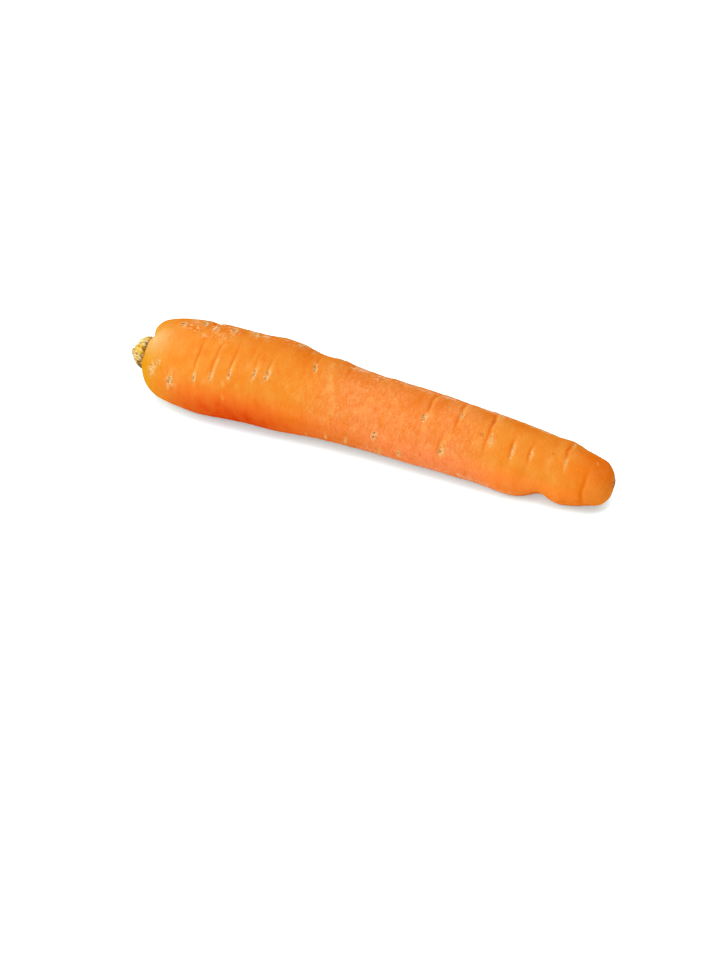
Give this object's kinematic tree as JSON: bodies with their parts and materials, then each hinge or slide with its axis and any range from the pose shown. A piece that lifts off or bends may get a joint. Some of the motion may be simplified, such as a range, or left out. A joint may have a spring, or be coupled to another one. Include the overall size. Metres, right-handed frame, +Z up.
{
  "type": "carrot",
  "caption": "Topped carrot lying on its side: a tapered orange taproot with cross creases and pale scars, and a short yellow-green stub of cut leaf stalks in its crown.",
  "frame": {"origin": "middle of the carrot's bounding box, on the surface it lies on", "axes": "+X along the root from the crown to the tip, +Z up from the surface it lies on, -Y the front side"},
  "size_m": [0.1942, 0.035, 0.0339],
  "materials": {
    "root_skin": "washed carrot skin, satin and faintly waxy, with pale cross marks",
    "stalk": "dried cut stalk bases, yellow to cream with olive and brown edges"
  },
  "bodies": {
    "root": {"root": "root_skin", "leaf_stub": "stalk"}
  },
  "joints": []
}
